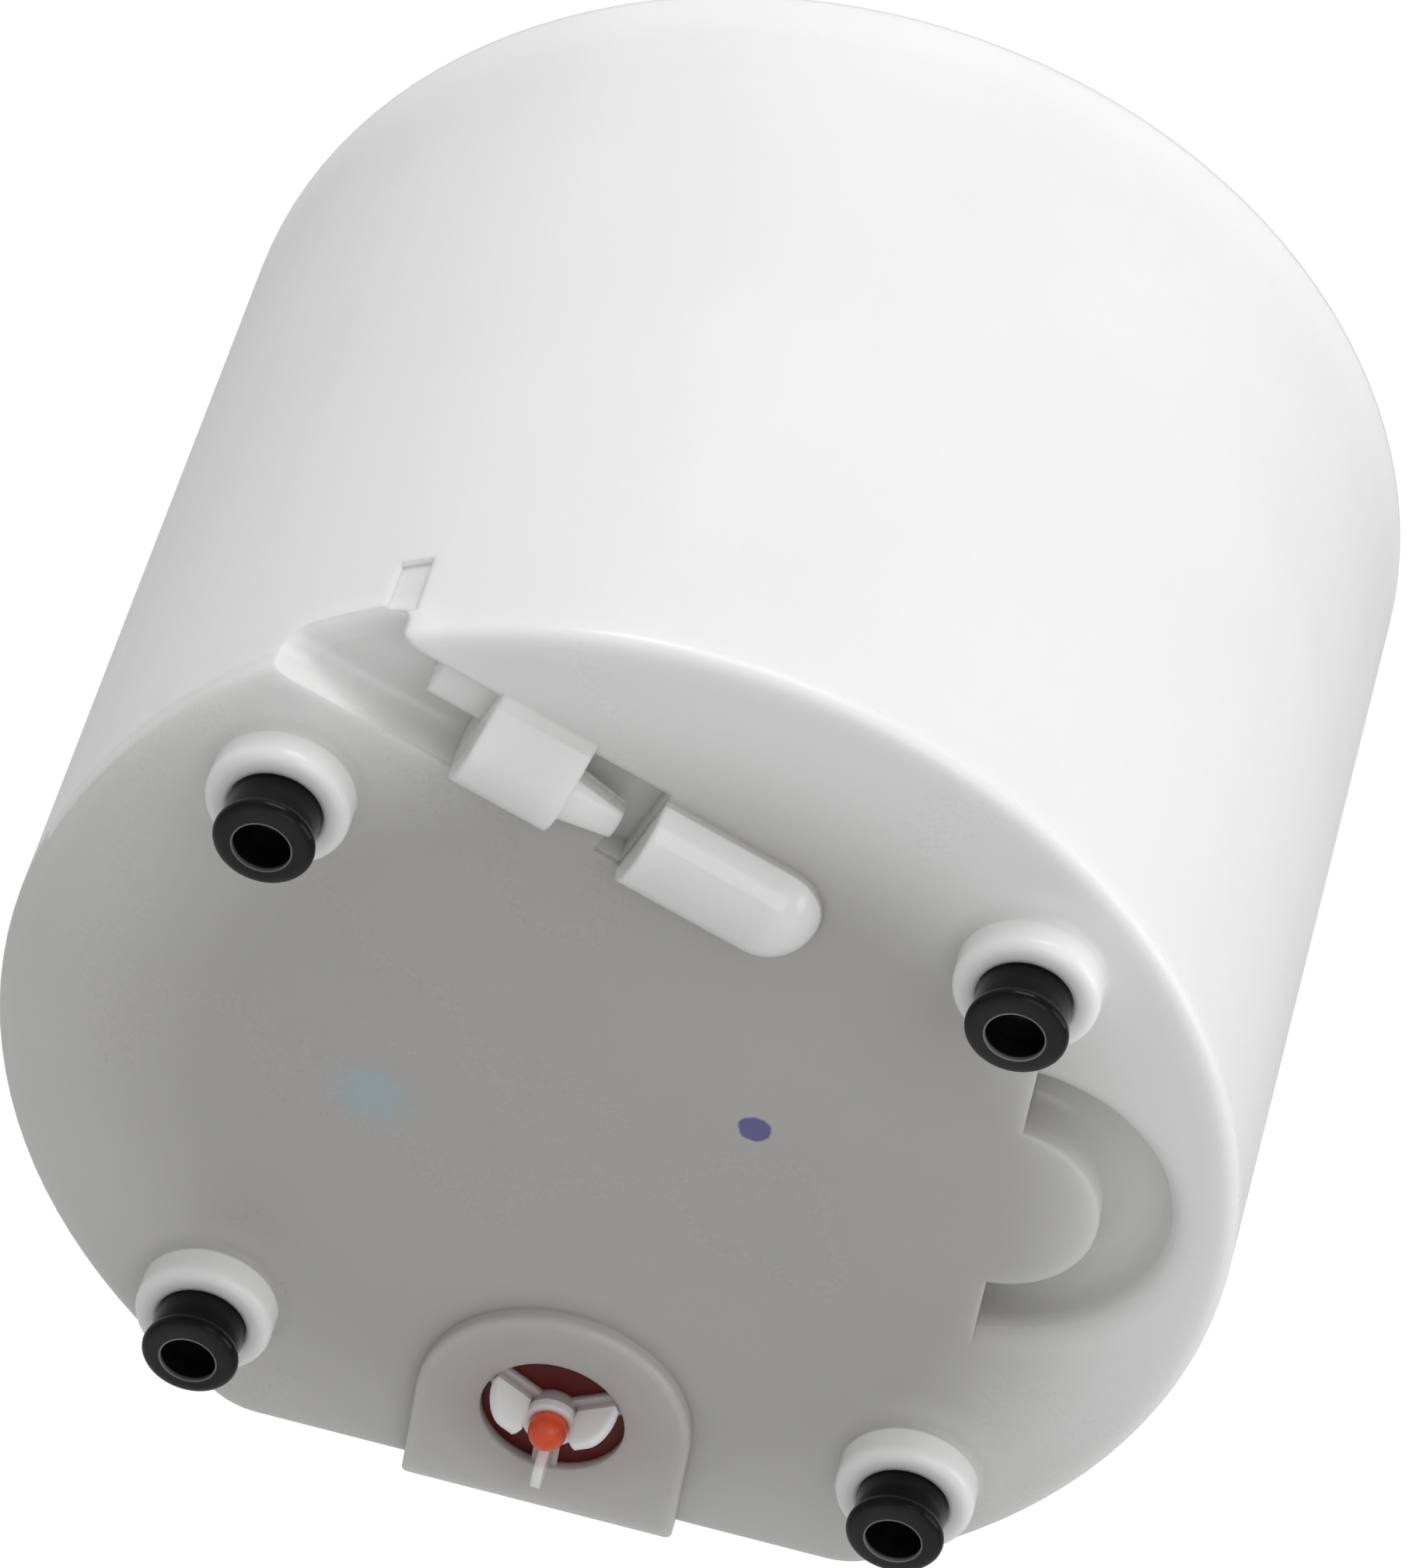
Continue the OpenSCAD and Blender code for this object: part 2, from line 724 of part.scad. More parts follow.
// ---- Lid ----

module port_shape(grow = 0) {
    translate([0, port_y]) round_rect(port_w + 2 * grow, port_l + 2 * grow, flap_round + grow);
}

module flap_shape(grow = 0) {
    translate([0, (flap_front + flap_back) / 2])
        round_rect(flap_w + 2 * grow, flap_back - flap_front + 2 * grow, flap_round + grow);
}

module rod_x(x0, x1, r) {
    translate([x0, hinge_y, hinge_z]) rotate([0, 90, 0]) cylinder(h = x1 - x0, r = r);
}

module lid_body() {
    translate([0, 0, flange_z]) linear_extrude(flange_t) difference() {
        plan(flange_off);
        rise_plan(lid_skin);
    }
    translate([0, 0, flange_z + eps]) linear_extrude(lid_top - flange_z - 2 * eps) difference() {
        rise_plan();
        rise_plan(lid_skin);
    }
    translate([0, 0, lid_top - lid_skin]) linear_extrude(lid_skin) rise_plan();
    // Thick frame round the filling port and under the hinge
    translate([0, 0, rise_z]) linear_extrude(lid_rise - eps) port_shape(frame_rim + 4);
    translate([-hinge_end - 3, flap_back - 2, rise_z])
        cube([2 * hinge_end + 6, 12, lid_rise - eps]);
}

module lid() color("whitesmoke") place() difference() {
    union() {
        difference() {
            lid_body();
            translate([0, 0, flange_z - 2]) linear_extrude(lid_rise + 9) port_shape();
            translate([0, 0, lid_top - flap_t]) linear_extrude(10) flap_shape(flap_gap);
            // Trough for the flap's knuckles
            translate([-knuckle_out - trough_gap, flap_back - 1, hinge_z - knuckle_r - trough_gap])
                cube([2 * (knuckle_out + trough_gap), knuckle_r + trough_gap + 5, 10]);
            // Finger scoop in front of the flap
            translate([0, flap_front + 1, lid_top + 6.5]) sphere(r = 10);
        }
        for (s = [0, 1]) mirror([s, 0, 0])
            rod_x(knuckle_out + trough_gap - eps, hinge_end, knuckle_r);
        rod_x(-knuckle_in, knuckle_in, knuckle_r);
        translate([-knuckle_in, hinge_y - 1.5, rise_z]) cube([2 * knuckle_in, 3, hinge_z - rise_z]);
    }
    rod_x(-hinge_end - 1, hinge_end + 1, hinge_pin_r);
    // Room for the shell's handle lugs
    for (s = [0, 1]) mirror([s, 0, 0])
        translate([lug_x - 0.4, pivot_y - lug_w / 2 - 0.4, flange_z - 1])
            cube([20, lug_w + 0.8, 10]);
}

module lid_seal() color("gray") place() translate([0, 0, ledge_z + ledge_t]) linear_extrude(lid_seal_t)
    difference() {
        plan(lid_seal_out);
        plan(lid_seal_in);
    }

module fill_flap() color("whitesmoke") place() difference() {
    arm = hinge_y - flap_back;
    union() {
        translate([0, 0, lid_top - flap_t]) linear_extrude(flap_t) flap_shape();
        for (s = [0, 1]) mirror([s, 0, 0]) {
            rod_x(knuckle_in + trough_gap, knuckle_out, knuckle_r);
            translate([knuckle_in + trough_gap, flap_back - 1, lid_top - flap_t])
                cube([knuckle_out - knuckle_in - trough_gap, arm + 1, flap_t]);
        }
    }
    rod_x(-hinge_end, hinge_end, hinge_pin_r + run_fit);
}

module flap_seal() color("gray") place()
    translate([0, 0, lid_top - flap_t - 2.2]) linear_extrude(2.2) difference() {
        port_shape(-0.6);
        port_shape(-3.2);
    }

module flap_pin() color("silver") place() rod_x(-hinge_end + 0.5, hinge_end - 0.5, hinge_pin_r);

// ---- Handle ----

module bar_section() {
    r = 1.6;
    z0 = pivot_z - bar_h / 2;
    translate([bar_in + bar_w / 2, z0 + bar_h / 2]) round_rect(bar_w, bar_h, r);
}

module handle() color("whitesmoke") place() difference() {
    union() {
        rotate([0, 0, 180]) rotate_extrude(angle = 180) bar_section();
        for (s = [0, 1]) mirror([s, 0, 0]) {
            rotate([90, 0, 0]) translate([0, 0, -pivot_y]) linear_extrude(pivot_y + eps) bar_section();
            translate([bar_in, pivot_y, pivot_z]) rotate([0, 90, 0]) cylinder(h = bar_w, r = eye_r);
        }
    }
    translate([-big / 2, pivot_y, pivot_z]) rotate([0, 90, 0])
        cylinder(h = big, r = pivot_r + run_fit);
}

module pivot_pin() {
    head_t = 1.4;
    translate([bar_in - head_t - 0.3, pivot_y, pivot_z]) rotate([0, 90, 0]) {
        cylinder(h = head_t, r = eye_r - 0.4);
        cylinder(h = pivot_end - bar_in + head_t, r = pivot_r);
    }
}

module pivot_pin_left() color("silver") place() mirror([1, 0, 0]) pivot_pin();
module pivot_pin_right() color("silver") place() pivot_pin();

tank_shell();
foot_front_left();
foot_front_right();
foot_back_left();
foot_back_right();
valve_seal();
valve_pin();
valve_spring();
valve_guide();
strainer_frame();
strainer_mesh();
float_post();
float_body();
float_cap();
float_magnet();
float_stop();
lid();
lid_seal();
fill_flap();
flap_seal();
flap_pin();
handle();
pivot_pin_left();
pivot_pin_right();
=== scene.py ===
"""Looks of a removable water tank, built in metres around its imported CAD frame.

Axes: +X right, +Y towards the flat back wall, +Z up. The four rubber feet stand on z = 0.
"""

import logging
import math
from dataclasses import dataclass
from enum import Enum

import bpy
from mathutils import Matrix, Vector


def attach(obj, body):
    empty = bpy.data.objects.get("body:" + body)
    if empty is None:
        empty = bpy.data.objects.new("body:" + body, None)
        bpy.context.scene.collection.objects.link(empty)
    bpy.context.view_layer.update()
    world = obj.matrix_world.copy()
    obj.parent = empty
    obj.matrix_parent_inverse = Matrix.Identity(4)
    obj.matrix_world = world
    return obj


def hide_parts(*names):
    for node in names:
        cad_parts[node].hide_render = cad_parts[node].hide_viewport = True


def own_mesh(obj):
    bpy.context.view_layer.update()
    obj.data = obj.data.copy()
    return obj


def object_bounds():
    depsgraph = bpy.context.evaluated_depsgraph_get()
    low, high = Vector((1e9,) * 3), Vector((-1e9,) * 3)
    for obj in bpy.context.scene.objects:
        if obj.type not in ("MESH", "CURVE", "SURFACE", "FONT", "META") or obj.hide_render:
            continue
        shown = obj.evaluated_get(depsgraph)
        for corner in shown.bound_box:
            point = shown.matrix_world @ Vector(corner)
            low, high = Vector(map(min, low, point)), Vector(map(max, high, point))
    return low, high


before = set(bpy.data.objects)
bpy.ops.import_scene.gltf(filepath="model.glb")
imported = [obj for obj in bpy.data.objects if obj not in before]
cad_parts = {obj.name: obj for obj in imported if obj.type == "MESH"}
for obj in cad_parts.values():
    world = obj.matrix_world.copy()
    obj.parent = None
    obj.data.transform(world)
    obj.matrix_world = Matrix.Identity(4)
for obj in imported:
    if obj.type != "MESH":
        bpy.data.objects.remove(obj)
CAD_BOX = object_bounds()

LOG = logging.getLogger("water_tank")
WHITE = (1.0, 1.0, 1.0)

# Slow noise runs from about 0.3 to 0.7, so these ends use the whole of a ramp
TONE_LOW = 0.3
TONE_HIGH = 0.7
FINE_SHARE = 0.25
SPECKLE_SHARE = 0.22
SCRATCH_FROM = 0.66
SCRATCH_TO = 0.74
SCRATCH_LAYERS = ((0.5, 14.0), (-0.9, 11.0))
SCRATCH_DULLNESS = 0.25
SCRATCH_DEPTH = 0.3
SPOT_NOISE_SCALE = 450.0
BUMP_DISTANCE = 0.0002

Colour = tuple[float, float, float]


class Mix(Enum):
    """Blend modes used by the colour mixes."""

    BLEND = "MIX"
    DARKEN = "MULTIPLY"


# ---------------------------------------------------------------- node helpers


class NodeSheet:
    """A small hand for writing shader nodes: adds nodes and links them in one call."""

    def __init__(self, tree: bpy.types.NodeTree) -> None:
        """Starts on an empty tree.

        Args:
            tree: the node tree of a material or a group.
        """
        self.tree = tree
        tree.nodes.clear()

    def add(self, kind: str, settings: dict | None = None, **inputs: object) -> bpy.types.Node:
        """Adds one node.

        Args:
            kind: the node's type name.
            settings: attributes of the node itself.
            inputs: values or sockets for its inputs, with spaces written as underscores.

        Returns:
            The new node.
        """
        node = self.tree.nodes.new(kind)
        for name, value in (settings or {}).items():
            setattr(node, name, value)
        for name, value in inputs.items():
            self.feed(node, name.replace("_", " "), value)
        return node

    def feed(self, node: bpy.types.Node, name: str, value: object) -> None:
        """Sets or links one input of a node.

        Args:
            node: the node that takes the value.
            name: the input's name, or its number as text.
            value: a socket to link, or a plain value.
        """
        socket = node.inputs[int(name)] if name.isdigit() else node.inputs[name]
        if isinstance(value, bpy.types.NodeSocket):
            self.tree.links.new(value, socket)
        elif isinstance(value, tuple) and len(value) == 3 and socket.type == "RGBA":
            socket.default_value = (*value, 1.0)
        else:
            socket.default_value = value

    def math(self, operation: str, a: object, b: object = 0.0) -> bpy.types.NodeSocket:
        """Adds a maths node without clamping.

        Args:
            operation: the node's operation.
            a: first value or socket.
            b: second value or socket.

        Returns:
            The result's socket.
        """
        node = self.add("ShaderNodeMath", {"operation": operation})
        self.feed(node, "0", a)
        self.feed(node, "1", b)
        return node.outputs[0]

    def ramp(self, value: object, low: float, high: float,
             to_low: float = 0.0, to_high: float = 1.0) -> bpy.types.NodeSocket:
        """Maps value from low..high to to_low..to_high with a smooth step.

        Args:
            value: the socket to map.
            low: value that gives to_low.
            high: value that gives to_high.
            to_low: result at the low end.
            to_high: result at the high end.

        Returns:
            The mapped output socket.
        """
        node = self.add("ShaderNodeMapRange", {"interpolation_type": "SMOOTHSTEP"})
        for name, number in zip(("Value", "From Min", "From Max", "To Min", "To Max"),
                                (value, low, high, to_low, to_high)):
            self.feed(node, name, number)
        return node.outputs[0]

    def parts(self, place: object) -> tuple[bpy.types.NodeSocket, ...]:
        """Splits a place into its X, Y and Z sockets."""
        node = self.add("ShaderNodeSeparateXYZ", None, Vector=place)
        return tuple(node.outputs[axis] for axis in "XYZ")

    def length(self, a: object, b: object) -> bpy.types.NodeSocket:
        """Returns the length of a flat vector from its two sides."""
        return self.math("SQRT", self.math("ADD", self.math("MULTIPLY", a, a),
                                           self.math("MULTIPLY", b, b)))

    def blend(self, factor: object, a: object, b: object,
              mode: Mix = Mix.BLEND) -> bpy.types.NodeSocket:
        """Mixes two colours.

        Args:
            factor: share of the second colour.
            a: first colour or socket.
            b: second colour or socket.
            mode: how they are mixed.

        Returns:
            The mixed colour's socket.
        """
        node = self.add("ShaderNodeMix", {"data_type": "RGBA", "blend_type": mode.value})
        self.feed(node, "0", factor)
        self.feed(node, "6", a)
        self.feed(node, "7", b)
        return node.outputs[2]


class GroupBook:
    """Shader node groups shared by the finishes, each built once."""

    def __init__(self) -> None:
        """Starts with no groups."""
        self.made: dict[str, bpy.types.NodeTree] = {}

    def _open(self, name: str, inputs: dict[str, tuple[str, object]],
              outputs: dict[str, str]) -> tuple[NodeSheet, bpy.types.Node, bpy.types.Node]:
        """Makes an empty group with named sockets.

        Args:
            name: the group's name.
            inputs: input name to (socket type, default value).
            outputs: output name to socket type.

        Returns:
            The sheet, the group's input node and its output node.
        """
        tree = bpy.data.node_groups.new(name, "ShaderNodeTree")
        for label, (kind, default) in inputs.items():
            socket = tree.interface.new_socket(label, in_out="INPUT", socket_type=kind)
            if default is not None:
                socket.default_value = default
        for label, kind in outputs.items():
            tree.interface.new_socket(label, in_out="OUTPUT", socket_type=kind)
        sheet = NodeSheet(tree)
        self.made[name] = tree
        return sheet, sheet.add("NodeGroupInput"), sheet.add("NodeGroupOutput")

    def grain(self) -> bpy.types.NodeTree:
        """Fine moulded grain over slow waviness, as a height and a tone."""
        if "moulded_grain" in self.made:
            return self.made["moulded_grain"]
        sheet, source, sink = self._open(
            "moulded_grain",
            {"Vector": ("NodeSocketVector", None), "Fine Scale": ("NodeSocketFloat", 900.0),
             "Wave Scale": ("NodeSocketFloat", 18.0)},
            {"Height": "NodeSocketFloat", "Tone": "NodeSocketFloat"})
        fine = sheet.add("ShaderNodeTexNoise", {"noise_dimensions": "3D"},
                         Vector=source.outputs["Vector"], Scale=source.outputs["Fine Scale"],
                         Detail=3.0, Roughness=0.6)
        wave = sheet.add("ShaderNodeTexNoise", {"noise_dimensions": "3D"},
                         Vector=source.outputs["Vector"], Scale=source.outputs["Wave Scale"],
                         Detail=2.0, Roughness=0.5)
        height = sheet.math("ADD", sheet.math("MULTIPLY", fine.outputs["Fac"], FINE_SHARE),
                            wave.outputs["Fac"])
        speckle = sheet.math("MULTIPLY", sheet.math("SUBTRACT", fine.outputs["Fac"], 0.5),
                             SPECKLE_SHARE)
        sheet.feed(sink, "Height", height)
        sheet.feed(sink, "Tone", sheet.math("ADD", wave.outputs["Fac"], speckle))
        return self.made["moulded_grain"]

    def scuffs(self) -> bpy.types.NodeTree:
        """Fine crossing scratches as a mask from 0 to 1."""
        if "fine_scuffs" in self.made:
            return self.made["fine_scuffs"]
        sheet, source, sink = self._open(
            "fine_scuffs",
            {"Vector": ("NodeSocketVector", None), "Scale": ("NodeSocketFloat", 120.0),
             "Amount": ("NodeSocketFloat", 0.5)},
            {"Mask": "NodeSocketFloat"})
        layers = []
        for angle, stretch in SCRATCH_LAYERS:
            turned = sheet.add("ShaderNodeMapping", None, Vector=source.outputs["Vector"],
                               Rotation=(0.0, 0.0, angle), Scale=(1.0, stretch, stretch))
            lines = sheet.add("ShaderNodeTexNoise", {"noise_dimensions": "3D"},
                              Vector=turned.outputs["Vector"], Scale=source.outputs["Scale"],
                              Detail=2.0, Roughness=0.55)
            layers.append(sheet.ramp(lines.outputs["Fac"], SCRATCH_FROM, SCRATCH_TO))
        both = sheet.math("MAXIMUM", layers[0], layers[1])
        sheet.feed(sink, "Mask", sheet.math("MULTIPLY", both, source.outputs["Amount"]))
        return self.made["fine_scuffs"]

    def spot(self) -> bpy.types.NodeTree:
        """A soft-edged round spot with an uneven outline, as a mask."""
        if "round_spot" in self.made:
            return self.made["round_spot"]
        sheet, source, sink = self._open(
            "round_spot",
            {"Vector": ("NodeSocketVector", None), "Centre": ("NodeSocketVector", None),
             "Radius": ("NodeSocketFloat", 0.003), "Softness": ("NodeSocketFloat", 0.3),
             "Unevenness": ("NodeSocketFloat", 0.2)},
            {"Mask": "NodeSocketFloat"})
        away = sheet.add("ShaderNodeVectorMath", {"operation": "DISTANCE"})
        sheet.feed(away, "0", source.outputs["Vector"])
        sheet.feed(away, "1", source.outputs["Centre"])
        near = sheet.math("DIVIDE", away.outputs["Value"], source.outputs["Radius"])
        noise = sheet.add("ShaderNodeTexNoise", {"noise_dimensions": "3D"},
                          Vector=source.outputs["Vector"], Scale=SPOT_NOISE_SCALE, Detail=2.0)
        wobble = sheet.math("MULTIPLY", sheet.math("SUBTRACT", noise.outputs["Fac"], 0.5),
                            source.outputs["Unevenness"])
        rim = sheet.math("SUBTRACT", 1.0, sheet.math("ADD", near, wobble))
        mask = sheet.math("DIVIDE", rim, source.outputs["Softness"])
        clamp = sheet.add("ShaderNodeClamp", None, Value=mask)
        sheet.feed(sink, "Mask", clamp.outputs[0])
        return self.made["round_spot"]


GROUPS = GroupBook()


# ---------------------------------------------------------------- finishes


@dataclass(frozen=True)
class Finish:
    """A moulded surface with grain, slow tone variation and a few scuffs."""

    name: str
    slot: str
    colour: Colour
    shade: Colour
    roughness: float = 0.35
    rough_spread: float = 0.08
    subsurface: float = 0.0
    subsurface_scale: float = 0.003
    metallic: float = 0.0
    specular: float = 0.5
    fine_scale: float = 900.0
    wave_scale: float = 18.0
    grain_height: float = 0.15
    scuff: float = 0.15
    scuff_scale: float = 90.0

    def make(self) -> bpy.types.Material:
        """Builds the node material.

        Returns:
            The finished material.
        """
        material = bpy.data.materials.new(self.name)
        material.use_nodes = True
        sheet = NodeSheet(material.node_tree)
        place = sheet.add("ShaderNodeTexCoord").outputs["Object"]
        grain = sheet.add("ShaderNodeGroup", {"node_tree": GROUPS.grain()}, Vector=place,
                          Fine_Scale=self.fine_scale, Wave_Scale=self.wave_scale)
        scuffs = sheet.add("ShaderNodeGroup", {"node_tree": GROUPS.scuffs()}, Vector=place,
                           Scale=self.scuff_scale, Amount=self.scuff)
        shader = self.shader(sheet)
        veil = tuple(dark / light for dark, light in zip(self.shade, self.colour))
        tone = grain.outputs["Tone"]
        mottle = sheet.blend(sheet.ramp(tone, TONE_LOW, TONE_HIGH), veil, WHITE)
        base = self.marks(sheet, place, self.colour)
        sheet.feed(shader, "Base Color", sheet.blend(1.0, base, mottle, Mix.DARKEN))
        rough = sheet.ramp(tone, TONE_LOW, TONE_HIGH, self.roughness,
                           self.roughness + self.rough_spread)
        rough = sheet.math("ADD", rough,
                           sheet.math("MULTIPLY", scuffs.outputs["Mask"], SCRATCH_DULLNESS))
        sheet.feed(shader, "Roughness", self.gloss(sheet, place, rough))
        height = sheet.math("SUBTRACT", grain.outputs["Height"],
                            sheet.math("MULTIPLY", scuffs.outputs["Mask"], SCRATCH_DEPTH))
        height = self.relief(sheet, place, height)
        bump = sheet.add("ShaderNodeBump", None, Strength=self.grain_height,
                         Distance=BUMP_DISTANCE, Height=height)
        sheet.feed(shader, "Normal", self.soften(sheet, bump))
        sink = sheet.add("ShaderNodeOutputMaterial")
        sheet.feed(sink, "Surface", shader.outputs[0])
        return material

    def shader(self, sheet: NodeSheet) -> bpy.types.Node:
        """Adds the Principled shader with the values that are the same all over.

        Args:
            sheet: the material's node sheet.

        Returns:
            The shader node.
        """
        shader = sheet.add("ShaderNodeBsdfPrincipled")
        for name, value in {"Metallic": self.metallic, "Specular IOR Level": self.specular,
                            "Subsurface Weight": self.subsurface,
                            "Subsurface Scale": self.subsurface_scale}.items():
            shader.inputs[name].default_value = value
        if self.subsurface > 0.0:
            shader.inputs["Subsurface Radius"].default_value = WHITE
        return shader

    def marks(self, sheet: NodeSheet, place: object, colour: object) -> object:
        """Adds marks to the colour; a plain finish has none."""
        return colour

    def gloss(self, sheet: NodeSheet, place: object, rough: object) -> object:
        """Adjusts the roughness; a plain finish leaves it."""
        return rough

    def relief(self, sheet: NodeSheet, place: object, height: object) -> object:
        """Adjusts the height; a plain finish leaves it."""
        return height

    def soften(self, sheet: NodeSheet, bump: bpy.types.Node) -> object:
        """Returns the normal that the shader takes."""
        return bump.outputs["Normal"]


@dataclass(frozen=True)
class Spot:
    """A round mark, or a painted glow, in the tank plastic, in metres."""

    place: tuple[float, float, float]
    radius: float
    softness: float
    unevenness: float
    share: float = 1.0
    colour: Colour = WHITE

    def mask(self, sheet: NodeSheet, place: object, size: float = 1.0,
             softness: float | None = None) -> bpy.types.NodeSocket:
        """Adds the spot's mask.

        Args:
            sheet: the material's node sheet.
            place: object coordinates.
            size: radius as a share of the spot's own radius.
            softness: width of the soft edge as a share of the radius, or the spot's own.

        Returns:
            The mask's socket.
        """
        group = sheet.add("ShaderNodeGroup", {"node_tree": GROUPS.spot()}, Vector=place,
                          Centre=self.place, Radius=self.radius * size,
                          Softness=self.softness if softness is None else softness,
                          Unevenness=self.unevenness)
        return group.outputs["Mask"]


@dataclass(frozen=True)
class TankFinish(Finish):
    """Milky tank plastic: polished walls, a duller underside, and the marks of use below."""

    underside: float = 0.017
    under_fade: tuple[float, float] = (0.0010, 0.0045)
    under_rough: float = 0.06
    soft_edge: float = 0.0012
    soft_edge_samples: int = 6
    ink: Spot = Spot((0.0249, -0.0109, 0.017), 0.0031, 0.15, 0.35, 0.85, (0.09, 0.07, 0.30))
    smudge: Spot = Spot((-0.0418, 0.0037, 0.017), 0.0085, 0.7, 1.3, 0.42, (0.36, 0.60, 0.64))
    # Painted glow: the red seal's light, seen pink through the plastic round the valve.
    glow: Spot = Spot((0.0, 0.0685, 0.0135), 0.021, 0.8, 0.10, 0.40, (0.33, 0.185, 0.17))
    gate: Spot = Spot((0.0005, -0.0021, 0.017), 0.0044, 0.25, 0.05)
    gate_inner: tuple[float, float] = (0.8, 0.3)
    gate_dot: tuple[float, float] = (0.3, 0.5)
    gate_height: float = 9.0
    # Painted shade: the grey of the underside, which faces away from the light.
    painted_shade: Colour = (0.49, 0.484, 0.472)
    # Painted light at the rim, strongest towards the front and the right.
    rim: tuple[float, float] = (0.068, 0.104)
    rim_lean: tuple[float, float] = (0.6, 0.8)
    rim_lean_span: float = 0.06
    rim_lean_low: float = 0.30
    bump_drop: float = 0.0009
    bump_gloss: float = 0.14
    pad_half_width: float = 0.027
    pad_side_fade: float = 0.003
    pad_front: float = 0.040
    pad_front_fade: float = 0.002
    pad_face: float = 0.0130
    pad_face_fade: float = 0.0004
    wall_from: float = 0.1055
    wall_fade: float = 0.002
    back_from: float = 0.0885
    back_fade: float = 0.0015
    wall_rise: tuple[float, float] = (0.001, 0.006)
    pocket_front: float = -0.034
    pocket_fade: float = 0.003
    pocket_rise: tuple[float, float] = (0.0004, 0.0012)
    # Share of painted light inside the hose groove and the pocket.
    pocket_share: float = 0.75

    def above_pad(self, sheet: NodeSheet, z: object) -> bpy.types.NodeSocket:
        """Returns a mask that is 1 from the pad's face upwards and 0 on what hangs below it."""
        return sheet.ramp(z, self.pad_face, self.pad_face + self.pad_face_fade)

    def bump_mask(self, sheet: NodeSheet, z: object, amount: float = 1.0) -> bpy.types.NodeSocket:
        """Finds the bosses and bumps that stand below the flat underside.

        Args:
            sheet: the material's node sheet.
            z: height socket.
            amount: the mask's value on the bumps.

        Returns:
            The mask's socket.
        """
        return sheet.ramp(z, self.underside - 2.0 * self.bump_drop,
                          self.underside - self.bump_drop, amount, 0.0)

    def rim_light_mask(self, sheet: NodeSheet, x: object, y: object,
                 away: object) -> bpy.types.NodeSocket:
        """Finds the rim of the underside that gets painted light, most at the front and the
        right.

        Args:
            sheet: the material's node sheet.
            x: place from left to right.
            y: place from front to back.
            away: distance from the middle.

        Returns:
            The mask's socket.
        """
        lean = sheet.math("SUBTRACT", sheet.math("MULTIPLY", x, self.rim_lean[0]),
                          sheet.math("MULTIPLY", y, self.rim_lean[1]))
        side = sheet.ramp(lean, -self.rim_lean_span, self.rim_lean_span, self.rim_lean_low, 1.0)
        return sheet.math("MULTIPLY", sheet.ramp(away, *self.rim), side)

    def pad_mask(self, sheet: NodeSheet, place: object) -> bpy.types.NodeSocket:
        """Returns a mask that is 1 on the valve pad's face."""
        x, y, z = sheet.parts(place)
        across = sheet.ramp(sheet.math("ABSOLUTE", x), self.pad_half_width,
                            self.pad_half_width + self.pad_side_fade, 1.0, 0.0)
        along = sheet.ramp(y, self.pad_front - self.pad_front_fade, self.pad_front)
        return sheet.math("MULTIPLY", sheet.math("MULTIPLY", across, along),
                          self.above_pad(sheet, z))

    def wall_mask(self, sheet: NodeSheet, y: object, z: object,
                  away: object) -> bpy.types.NodeSocket:
        """Finds the outer walls, without the walls of the grooves.

        Args:
            sheet: the material's node sheet.
            y: place from front to back.
            z: height.
            away: distance from the middle.

        Returns:
            The mask's socket.
        """
        outer = sheet.math("MAXIMUM",
                           sheet.ramp(away, self.wall_from, self.wall_from + self.wall_fade),
                           sheet.ramp(y, self.back_from, self.back_from + self.back_fade))
        low, high = (self.underside + rise for rise in self.wall_rise)
        return sheet.math("MULTIPLY", outer, sheet.ramp(z, low, high))

    def pocket_mask(self, sheet: NodeSheet, y: object, z: object) -> bpy.types.NodeSocket:
        """Finds the inside of the hose groove and the pocket at the front."""
        front = sheet.ramp(y, self.pocket_front - self.pocket_fade, self.pocket_front, 1.0, 0.0)
        low, high = (self.underside + rise for rise in self.pocket_rise)
        return sheet.math("MULTIPLY", front, sheet.ramp(z, low, high, 0.0, self.pocket_share))

    def painted_shade_mask(self, sheet: NodeSheet, place: object) -> bpy.types.NodeSocket:
        """Finds where the underside gets painted shade, the grey of a face turned away from the
        light.

        The rim, the bosses, the bumps, the groove and the outer walls get painted light instead.

        Args:
            sheet: the material's node sheet.
            place: object coordinates.

        Returns:
            A mask that is 1 on the thin floor and on the valve pad.
        """
        x, y, z = sheet.parts(place)
        away = sheet.length(x, y)
        off_pad = sheet.math("SUBTRACT", 1.0, self.pad_mask(sheet, place))
        # Painted light: bosses, bumps, rim, groove and outer walls stay lighter than the painted
        # shade.
        painted_light = sheet.math("MULTIPLY", self.bump_mask(sheet, z), off_pad)
        for other in (self.rim_light_mask(sheet, x, y, away), self.pocket_mask(sheet, y, z),
                      self.wall_mask(sheet, y, z, away)):
            painted_light = sheet.math("MAXIMUM", painted_light, other)
        return sheet.math("SUBTRACT", 1.0, painted_light)

    def marks(self, sheet: NodeSheet, place: object, colour: object) -> object:
        """Adds the painted shade of the underside, the painted pink glow of the seal, the smudge
        and the ink blot.

        Args:
            sheet: the material's node sheet.
            place: object coordinates.
            colour: the plain colour.

        Returns:
            The marked colour's socket.
        """
        # Painted shade on the underside, then the painted glow, the smudge and the ink blot.
        colour = sheet.blend(self.painted_shade_mask(sheet, place), colour, self.painted_shade)
        z = sheet.parts(place)[2]
        # Painted glow of the seal, only from the pad's face upwards.
        glow = sheet.math("MULTIPLY", self.glow.mask(sheet, place), self.above_pad(sheet, z))
        for spot, mask in ((self.glow, glow), (self.smudge, self.smudge.mask(sheet, place)),
                           (self.ink, self.ink.mask(sheet, place))):
            colour = sheet.blend(sheet.math("MULTIPLY", mask, spot.share), colour, spot.colour)
        return colour

